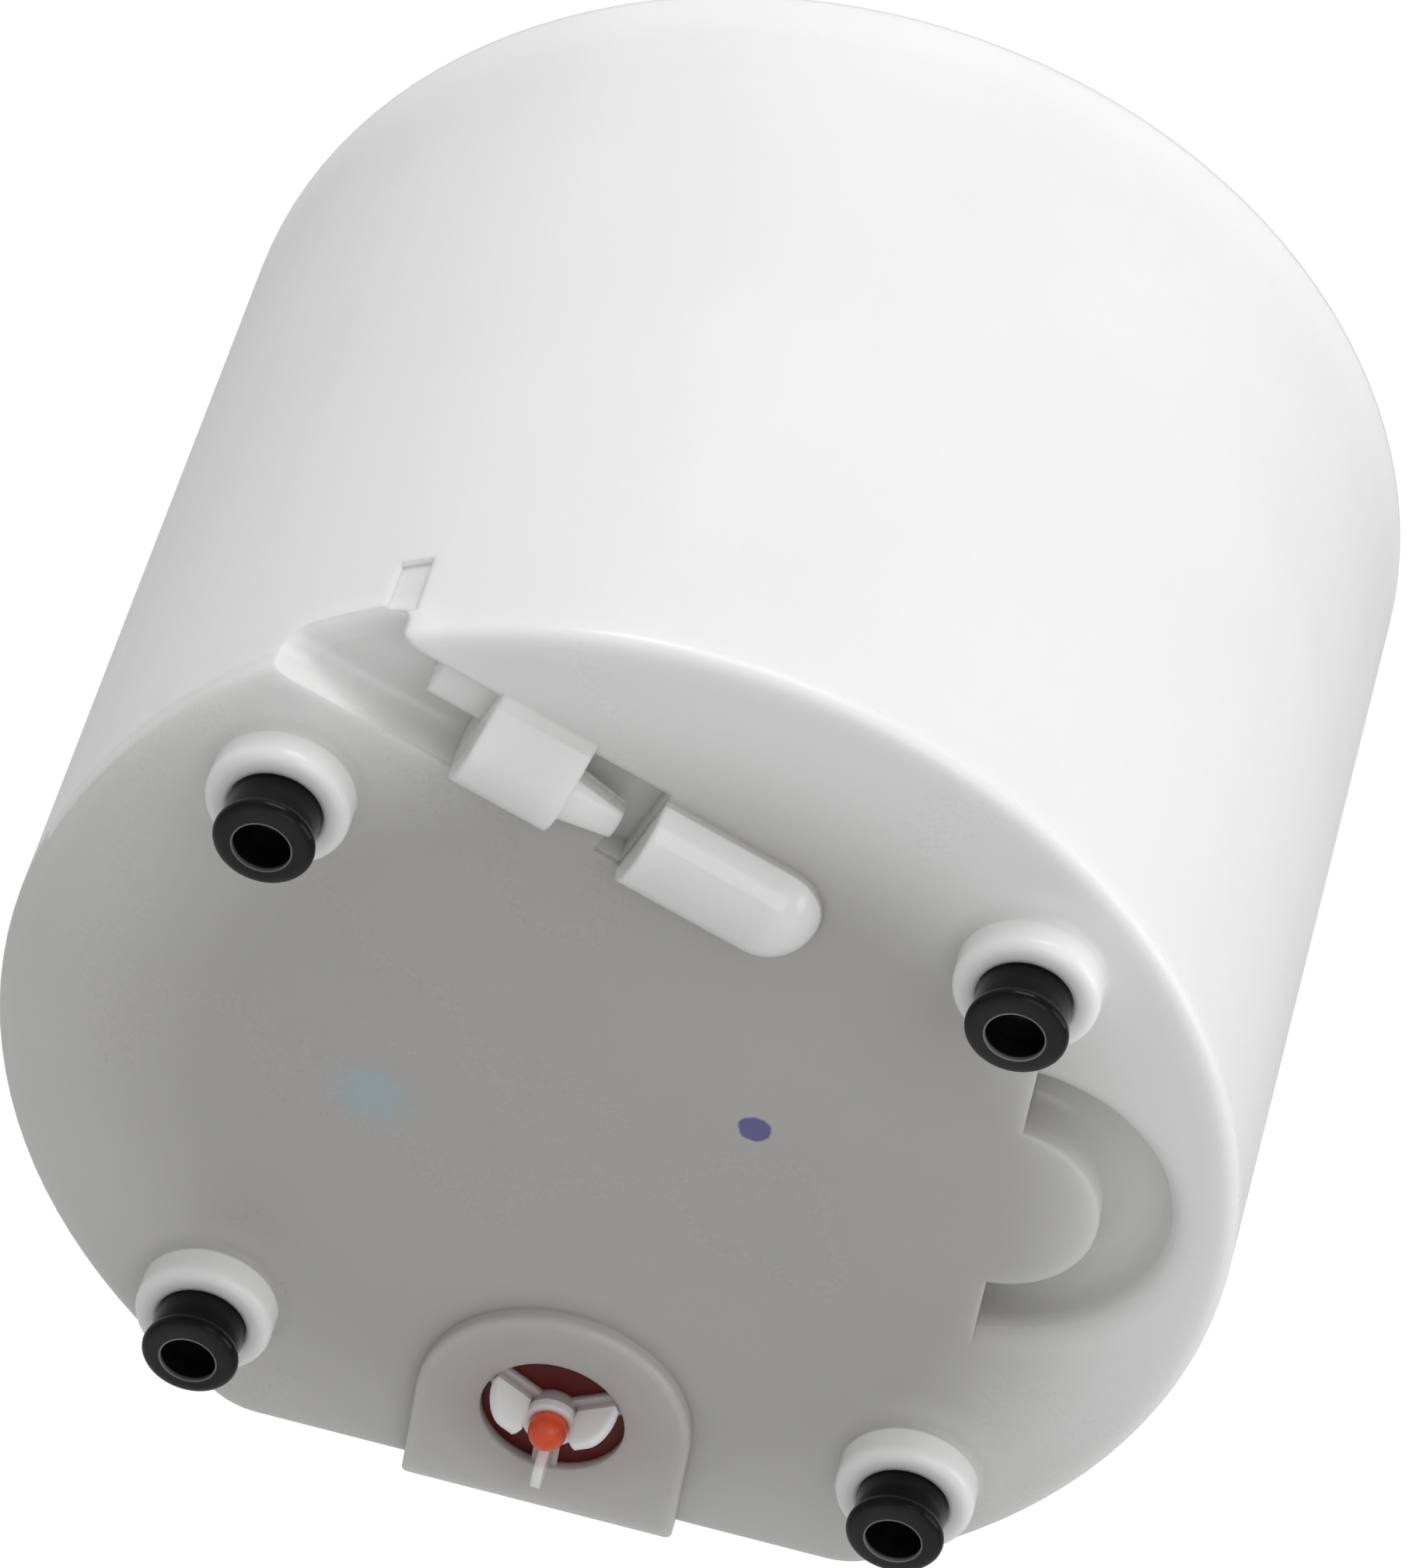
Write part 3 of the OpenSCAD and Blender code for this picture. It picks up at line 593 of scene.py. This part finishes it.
    def gloss(self, sheet: NodeSheet, place: object, rough: object) -> object:
        """Makes the flat underside duller than the walls, and the bumps below it glossier."""
        z = sheet.parts(place)[2]
        low, high = (self.underside + rise for rise in self.under_fade)
        below = sheet.ramp(z, high, low, 0.0, 1.0)
        bump = self.bump_mask(sheet, z, self.bump_gloss + self.under_rough)
        rough = sheet.math("ADD", rough, sheet.math("MULTIPLY", below, self.under_rough))
        return sheet.math("SUBTRACT", rough, bump)

    def relief(self, sheet: NodeSheet, place: object, height: object) -> object:
        """Adds the low ring round the mould's gate."""
        ring = sheet.math("SUBTRACT", self.gate.mask(sheet, place),
                          self.gate.mask(sheet, place, *self.gate_inner))
        ring = sheet.math("ADD", ring, self.gate.mask(sheet, place, *self.gate_dot))
        return sheet.math("ADD", height, sheet.math("MULTIPLY", ring, self.gate_height))

    def soften(self, sheet: NodeSheet, bump: bpy.types.Node) -> object:
        """Rounds the look of the moulded edges."""
        edge = sheet.add("ShaderNodeBevel", {"samples": self.soft_edge_samples},
                         Radius=self.soft_edge, Normal=bump.outputs["Normal"])
        return edge.outputs["Normal"]


@dataclass(frozen=True)
class FootFinish(Finish):
    """Black rubber whose face is paler, partly dust and wear and partly a painted reflection of
    the floor, with a painted highlight on the lip round its hole.
    """

    axis_x: float = 0.065
    axis_y: float = 0.0632
    worn_height: float = 0.0011
    # Paler face: partly dust, partly a painted reflection of the floor below.
    dust_and_floor_reflection: Colour = (0.030, 0.030, 0.030)
    worn_rough: float = 0.22
    hole_radius: float = 0.0051
    hole_fade: float = 0.0001
    lip: float = 0.00035
    lip_solid: float = 0.6
    # Painted highlight on the lip round the hole.
    lip_highlight: Colour = (0.22, 0.22, 0.215)

    def masks(self, sheet: NodeSheet, place: object) -> tuple[object, object]:
        """Finds the face, worn and with a painted reflection, and the lip with its painted
        highlight.

        Args:
            sheet: the material's node sheet.
            place: object coordinates.

        Returns:
            The mask of the face and the mask of the lip.
        """
        x, y, z = sheet.parts(place)
        across = sheet.math("SUBTRACT", sheet.math("ABSOLUTE", x), self.axis_x)
        along = sheet.math("SUBTRACT", sheet.math("ABSOLUTE", y), self.axis_y)
        away = sheet.length(across, along)
        face = sheet.ramp(z, 0.0, self.worn_height, 1.0, 0.0)
        outside = sheet.ramp(away, self.hole_radius - self.hole_fade, self.hole_radius)
        inside = sheet.ramp(away, self.hole_radius + self.lip * self.lip_solid,
                            self.hole_radius + self.lip, 1.0, 0.0)
        return (sheet.math("MULTIPLY", face, outside),
                sheet.math("MULTIPLY", face, sheet.math("MULTIPLY", outside, inside)))

    def marks(self, sheet: NodeSheet, place: object, colour: object) -> object:
        """Adds the paler face, partly dust and partly a painted reflection, and the lip's painted
        highlight.
        """
        face, lip = self.masks(sheet, place)
        return sheet.blend(lip, sheet.blend(face, colour, self.dust_and_floor_reflection), self.lip_highlight)

    def gloss(self, sheet: NodeSheet, place: object, rough: object) -> object:
        """Makes the worn face duller."""
        face, _ = self.masks(sheet, place)
        return sheet.math("ADD", rough, sheet.math("MULTIPLY", face, self.worn_rough))


@dataclass(frozen=True)
class ClothFinish(Finish):
    """Fine woven strainer cloth with open squares between its threads."""

    threads_along: float = 1260.0
    threads_around: float = 160.0
    thread_edge: tuple[float, float] = (0.1, 0.3)
    thread_bump: float = 0.6
    tone_span: tuple[float, float] = (0.2, 0.8)
    extra_rough: float = 0.1

    def make(self) -> bpy.types.Material:
        """Builds the woven material.

        Returns:
            The finished material.
        """
        material = bpy.data.materials.new(self.name)
        material.use_nodes = True
        sheet = NodeSheet(material.node_tree)
        place = sheet.add("ShaderNodeTexCoord").outputs["Object"]
        centred = sheet.add("ShaderNodeMapping", None, Vector=place,
                            Location=(0.0, -TANK.valve_y, 0.0))
        x, y, z = sheet.parts(centred.outputs["Vector"])
        around = sheet.math("ARCTAN2", y, x)
        across = sheet.math("SINE", sheet.math("MULTIPLY", around, self.threads_around))
        along = sheet.math("SINE",
                           sheet.math("MULTIPLY", z, 2.0 * math.pi * self.threads_along))
        threads = sheet.math("MAXIMUM", across, along)
        grain = sheet.add("ShaderNodeGroup", {"node_tree": GROUPS.grain()}, Vector=place,
                          Fine_Scale=self.fine_scale, Wave_Scale=self.wave_scale)
        tone = grain.outputs["Tone"]
        shader = self.shader(sheet)
        sheet.feed(shader, "Base Color", sheet.blend(tone, self.shade, self.colour))
        sheet.feed(shader, "Roughness", sheet.ramp(tone, *self.tone_span, self.roughness,
                                                   self.roughness + self.extra_rough))
        sheet.feed(shader, "Alpha", sheet.ramp(threads, *self.thread_edge))
        bump = sheet.add("ShaderNodeBump", None, Strength=self.thread_bump,
                         Distance=BUMP_DISTANCE, Height=threads)
        sheet.feed(shader, "Normal", bump.outputs["Normal"])
        sink = sheet.add("ShaderNodeOutputMaterial")
        sheet.feed(sink, "Surface", shader.outputs[0])
        return material


@dataclass(frozen=True)
class Finishes:
    """Every finish of the tank."""

    tank: TankFinish = TankFinish(
        "milky_tank_plastic", "tank_plastic", (0.90, 0.90, 0.895), (0.87, 0.87, 0.865),
        roughness=0.20, rough_spread=0.06, subsurface=0.7, subsurface_scale=0.006,
        grain_height=0.02, scuff=0.03)
    lid: Finish = Finish(
        "white_lid_plastic", "tank_plastic", (0.84, 0.84, 0.83), (0.80, 0.80, 0.79),
        roughness=0.30, subsurface=0.2, grain_height=0.12, scuff=0.25)
    inner: Finish = Finish(
        "natural_inner_plastic", "inner_plastic", (0.80, 0.80, 0.77), (0.74, 0.74, 0.71),
        roughness=0.38, subsurface=0.3, grain_height=0.12, scuff=0.1)
    rubber: FootFinish = FootFinish(
        "black_foot_rubber", "foot_rubber", (0.006, 0.006, 0.006), (0.004, 0.004, 0.004),
        roughness=0.13, rough_spread=0.07, specular=0.13, fine_scale=1600.0, wave_scale=60.0,
        grain_height=0.12, scuff=0.1, scuff_scale=160.0)
    valve_silicone: Finish = Finish(
        "red_valve_silicone", "valve_silicone", (0.115, 0.007, 0.0055), (0.085, 0.005, 0.004),
        roughness=0.38, specular=0.3, fine_scale=1800.0, wave_scale=90.0, grain_height=0.2)
    plunger: Finish = Finish(
        "orange_plunger_plastic", "plunger_plastic", (0.80, 0.10, 0.022), (0.70, 0.075, 0.016),
        roughness=0.26, subsurface=0.2, subsurface_scale=0.001, fine_scale=1500.0,
        wave_scale=80.0, grain_height=0.1)
    spring: Finish = Finish(
        "drawn_spring_steel", "spring_steel", (0.62, 0.61, 0.59), (0.48, 0.47, 0.46),
        roughness=0.22, metallic=1.0, fine_scale=4000.0, wave_scale=300.0, grain_height=0.15)
    pin: Finish = Finish(
        "turned_pin_steel", "pin_steel", (0.66, 0.65, 0.63), (0.55, 0.54, 0.52),
        roughness=0.20, metallic=1.0, fine_scale=3000.0, wave_scale=200.0, grain_height=0.12,
        scuff=0.4, scuff_scale=300.0)
    cloth: ClothFinish = ClothFinish(
        "woven_strainer_cloth", "strainer_cloth", (0.72, 0.72, 0.70), (0.62, 0.62, 0.60),
        roughness=0.55)
    float_plastic: Finish = Finish(
        "ivory_float_plastic", "float_plastic", (0.74, 0.71, 0.60), (0.66, 0.63, 0.52),
        roughness=0.40, subsurface=0.25, wave_scale=60.0, grain_height=0.25)
    magnet: Finish = Finish(
        "sintered_magnet", "magnet_ferrite", (0.040, 0.040, 0.043), (0.022, 0.022, 0.024),
        roughness=0.55, fine_scale=2600.0, wave_scale=400.0, grain_height=0.6, scuff=0.3)
    lid_silicone: Finish = Finish(
        "soft_lid_silicone", "seal_silicone", (0.52, 0.53, 0.53), (0.44, 0.45, 0.45),
        roughness=0.5, subsurface=0.3, fine_scale=1500.0, wave_scale=60.0, grain_height=0.15)


# ---------------------------------------------------------------- the tank


@dataclass(frozen=True)
class TankPlan:
    """Places shared by several pieces, in metres."""

    valve_y: float = 0.0685
    spring_low: float = 0.0190
    spring_high: float = 0.0322
    spring_travel: float = 0.004


TANK = TankPlan()
FINISHES = Finishes()


def deselect() -> None:
    """Leaves nothing selected and no active object."""
    if bpy.context.object and bpy.context.object.mode != "OBJECT":
        bpy.ops.object.mode_set(mode="OBJECT")
    bpy.ops.object.select_all(action="DESELECT")


def activate(piece: bpy.types.Object) -> None:
    """Selects one object alone and makes it active."""
    deselect()
    piece.select_set(True)
    bpy.context.view_layer.objects.active = piece


def settle(piece: bpy.types.Object) -> None:
    """Puts the object's place, turn and scale into its mesh."""
    activate(piece)
    bpy.ops.object.transform_apply(location=True, rotation=True, scale=True)
    deselect()


def dress(piece: bpy.types.Object, material: bpy.types.Material) -> None:
    """Gives every face of an object one material.

    Args:
        piece: the object.
        material: its material.
    """
    if not piece.material_slots:
        piece.data.materials.append(material)
    for slot in piece.material_slots:
        slot.material = material


@dataclass
class DressedNodes:
    """CAD nodes that keep their shape and get a finish."""

    wardrobe: dict[str, Finish]

    def build(self) -> None:
        """Makes each finish once and puts it on its nodes."""
        made: dict[str, bpy.types.Material] = {}
        for node, finish in self.wardrobe.items():
            if finish.name not in made:
                made[finish.name] = finish.make()
            dress(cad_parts[node], made[finish.name])
            LOG.info("%s wears %s", node, finish.name)


@dataclass
class ValveSpring:
    """Round-wire spring between the plunger's flange and the guide's plate."""

    radius: float = 0.0044
    wire: float = 0.00045
    turns: float = 5.5
    closed: float = 0.9
    closed_pitch: float = 2.05
    points_per_turn: int = 28
    wire_sides: int = 5
    smooth_angle: float = math.radians(40.0)

    def height(self, share: float) -> float:
        """Height of the wire's middle at a share of its length, with closed end turns.

        Args:
            share: 0 at the lower end, 1 at the upper end.

        Returns:
            The height in metres.
        """
        low = TANK.spring_low + self.wire
        high = TANK.spring_high - self.wire
        turn = share * self.turns
        end_rise = self.closed_pitch * self.wire * self.closed
        if turn < self.closed:
            return low + end_rise * turn / self.closed
        if turn > self.turns - self.closed:
            return high - end_rise * (self.turns - turn) / self.closed
        middle = (turn - self.closed) / (self.turns - 2.0 * self.closed)
        return low + end_rise + (high - low - 2.0 * end_rise) * middle

    def build(self) -> bpy.types.Object:
        """Winds the wire as a curve and makes it a mesh.

        Returns:
            The spring.
        """
        deselect()
        bpy.ops.curve.primitive_nurbs_path_add(location=(0.0, 0.0, 0.0))
        wire = bpy.context.object
        wire.name = "valve_spring_coil"
        curve = wire.data
        curve.splines.clear()
        count = int(self.turns * self.points_per_turn)
        spline = curve.splines.new("POLY")
        spline.points.add(count)
        for i in range(count + 1):
            angle = 2.0 * math.pi * self.turns * i / count
            spline.points[i].co = (self.radius * math.cos(angle),
                                   TANK.valve_y + self.radius * math.sin(angle),
                                   self.height(i / count), 1.0)
        curve.bevel_depth = self.wire
        curve.bevel_resolution = self.wire_sides
        curve.use_fill_caps = True
        activate(wire)
        bpy.ops.object.convert(target="MESH")
        bpy.ops.object.shade_smooth_by_angle(angle=self.smooth_angle)
        settle(wire)
        dress(wire, FINISHES.spring.make())
        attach(wire, "tank")
        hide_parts("valve_spring")
        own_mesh(wire)
        LOG.info("valve_spring_coil wound with %.1f turns", self.turns)
        return wire


# ---------------------------------------------------------------- studio


@dataclass(frozen=True)
class Softbox:
    """One soft area light, aimed at the middle of the tank."""

    name: str
    direction: tuple[float, float, float]
    distance: float
    width: float
    power: float

    def build(self, target: Vector) -> bpy.types.Object:
        """Adds the light.

        Args:
            target: the point that it lights.

        Returns:
            The light.
        """
        away = Vector(self.direction).normalized()
        lamp = bpy.data.lights.new(self.name, "AREA")
        lamp.shape = "SQUARE"
        lamp.size = self.width
        lamp.energy = self.power
        light = bpy.data.objects.new(self.name, lamp)
        bpy.context.collection.objects.link(light)
        light.matrix_world = (Matrix.Translation(target + away * self.distance)
                              @ away.to_track_quat("Z", "Y").to_matrix().to_4x4())
        return light


@dataclass
class Studio:
    """Camera below the tank, pale floor, white surroundings and soft lights."""

    yaw: float = math.radians(-4.84)
    pitch: float = math.radians(47.94)
    roll: float = math.radians(17.658)
    camera_place: tuple[float, float, float] = (0.075741, -0.918475, -0.908586)
    film: float = 36.0
    lens: float = 171.87
    clip: tuple[float, float] = (0.01, 50.0)
    floor_size: float = 6.0
    floor_drop: float = 0.0002
    floor_rough: float = 0.7
    floor_shade: Colour = (0.76, 0.76, 0.75)
    floor_colour: Colour = (0.80, 0.80, 0.79)
    floor_fine_scale: float = 60.0
    floor_wave_scale: float = 2.0
    world_light: float = 0.55
    lights: tuple[Softbox, ...] = (
        Softbox("key_softbox", (0.10, -0.97, 0.24), 0.95, 0.5, 2.3),
        Softbox("window_softbox", (-0.22, -0.87, 0.44), 0.95, 0.15, 1.0),
        Softbox("low_softbox", (0.40, -0.62, -0.60), 0.95, 0.5, 1.1),
        Softbox("top_softbox", (-0.24, -0.50, 0.84), 1.8, 1.4, 2.2),
        Softbox("side_softbox", (0.95, -0.20, -0.06), 0.75, 0.5, 1.5),
    )

    def camera(self) -> bpy.types.Object:
        """Adds the camera, looking up at the underside.

        Returns:
            The camera.
        """
        ahead = Vector((math.sin(self.yaw) * math.cos(self.pitch),
                        math.cos(self.yaw) * math.cos(self.pitch), math.sin(self.pitch)))
        right = Vector((math.cos(self.yaw), -math.sin(self.yaw), 0.0))
        up = right.cross(ahead)
        across = right * math.cos(self.roll) + up * math.sin(self.roll)
        top = up * math.cos(self.roll) - right * math.sin(self.roll)
        data = bpy.data.cameras.new("camera")
        data.sensor_fit = "AUTO"
        data.sensor_width = self.film
        data.lens = self.lens
        data.clip_start, data.clip_end = self.clip
        camera = bpy.data.objects.new("camera", data)
        bpy.context.collection.objects.link(camera)
        turn = Matrix((across, top, -ahead)).transposed()
        camera.matrix_world = Matrix.Translation(Vector(self.camera_place)) @ turn.to_4x4()
        bpy.context.scene.camera = camera
        return camera

    def floor_finish(self) -> bpy.types.Material:
        """Makes a pale floor that can be looked through from below.

        Returns:
            The floor's material.
        """
        material = bpy.data.materials.new("pale_floor")
        material.use_nodes = True
        sheet = NodeSheet(material.node_tree)
        place = sheet.add("ShaderNodeTexCoord").outputs["Object"]
        grain = sheet.add("ShaderNodeGroup", {"node_tree": GROUPS.grain()}, Vector=place,
                          Fine_Scale=self.floor_fine_scale, Wave_Scale=self.floor_wave_scale)
        shader = sheet.add("ShaderNodeBsdfPrincipled", None, Roughness=self.floor_rough)
        sheet.feed(shader, "Base Color", sheet.blend(grain.outputs["Tone"], self.floor_shade,
                                                     self.floor_colour))
        clear = sheet.add("ShaderNodeBsdfTransparent")
        side = sheet.add("ShaderNodeNewGeometry")
        both = sheet.add("ShaderNodeMixShader")
        sheet.feed(both, "0", side.outputs["Backfacing"])
        sheet.feed(both, "1", shader.outputs[0])
        sheet.feed(both, "2", clear.outputs[0])
        sink = sheet.add("ShaderNodeOutputMaterial")
        sheet.feed(sink, "Surface", both.outputs[0])
        return material

    def floor(self) -> bpy.types.Object:
        """Adds the floor that the tank stands on.

        Returns:
            The floor.
        """
        deselect()
        bpy.ops.mesh.primitive_plane_add(size=self.floor_size,
                                         location=(0.0, 0.0, -self.floor_drop))
        floor = bpy.context.object
        floor.name = "floor"
        settle(floor)
        dress(floor, self.floor_finish())
        floor.visible_shadow = False
        floor.visible_diffuse = False
        floor.visible_glossy = False
        floor.visible_transmission = False
        return floor

    def world(self) -> None:
        """Makes the surroundings white to look at and softer as a light."""
        world = bpy.data.worlds.new("white_surroundings")
        world.use_nodes = True
        bpy.context.scene.world = world
        sheet = NodeSheet(world.node_tree)
        seen = sheet.add("ShaderNodeLightPath").outputs["Is Camera Ray"]
        strength = sheet.ramp(seen, 0.0, 1.0, self.world_light, 1.0)
        glow = sheet.add("ShaderNodeBackground", None, Color=WHITE, Strength=strength)
        sink = sheet.add("ShaderNodeOutputWorld")
        sheet.feed(sink, "Surface", glow.outputs[0])

    def build(self) -> None:
        """Sets up the camera, the surroundings, the floor and the lights."""
        self.camera()
        self.world()
        self.floor()
        low, high = (Vector(corner) for corner in CAD_BOX)
        for softbox in self.lights:
            softbox.build((low + high) / 2.0)
        view = bpy.context.scene.view_settings
        view.view_transform = "Standard"


def wardrobe() -> dict[str, Finish]:
    """Says which finish each CAD node wears.

    Returns:
        Node name to finish.
    """
    wear: dict[str, Finish] = {"tank_shell": FINISHES.tank}
    for node in ("lid", "fill_flap", "handle"):
        wear[node] = FINISHES.lid
    for end in ("front", "back"):
        for side in ("left", "right"):
            wear[f"foot_{end}_{side}"] = FINISHES.rubber
    for node in ("valve_guide", "strainer_frame", "float_post", "float_stop"):
        wear[node] = FINISHES.inner
    for node in ("lid_seal", "flap_seal"):
        wear[node] = FINISHES.lid_silicone
    for node in ("flap_pin", "pivot_pin_left", "pivot_pin_right"):
        wear[node] = FINISHES.pin
    for node in ("float_body", "float_cap"):
        wear[node] = FINISHES.float_plastic
    wear["valve_seal"] = FINISHES.valve_silicone
    wear["valve_pin"] = FINISHES.plunger
    wear["strainer_mesh"] = FINISHES.cloth
    wear["float_magnet"] = FINISHES.magnet
    return wear


def main() -> None:
    """Builds the studio, dresses the frame and adds the finer pieces."""
    logging.basicConfig(level=logging.INFO)
    Studio().build()
    DressedNodes(wardrobe()).build()
    ValveSpring().build()


if __name__ == "__main__":
    main()
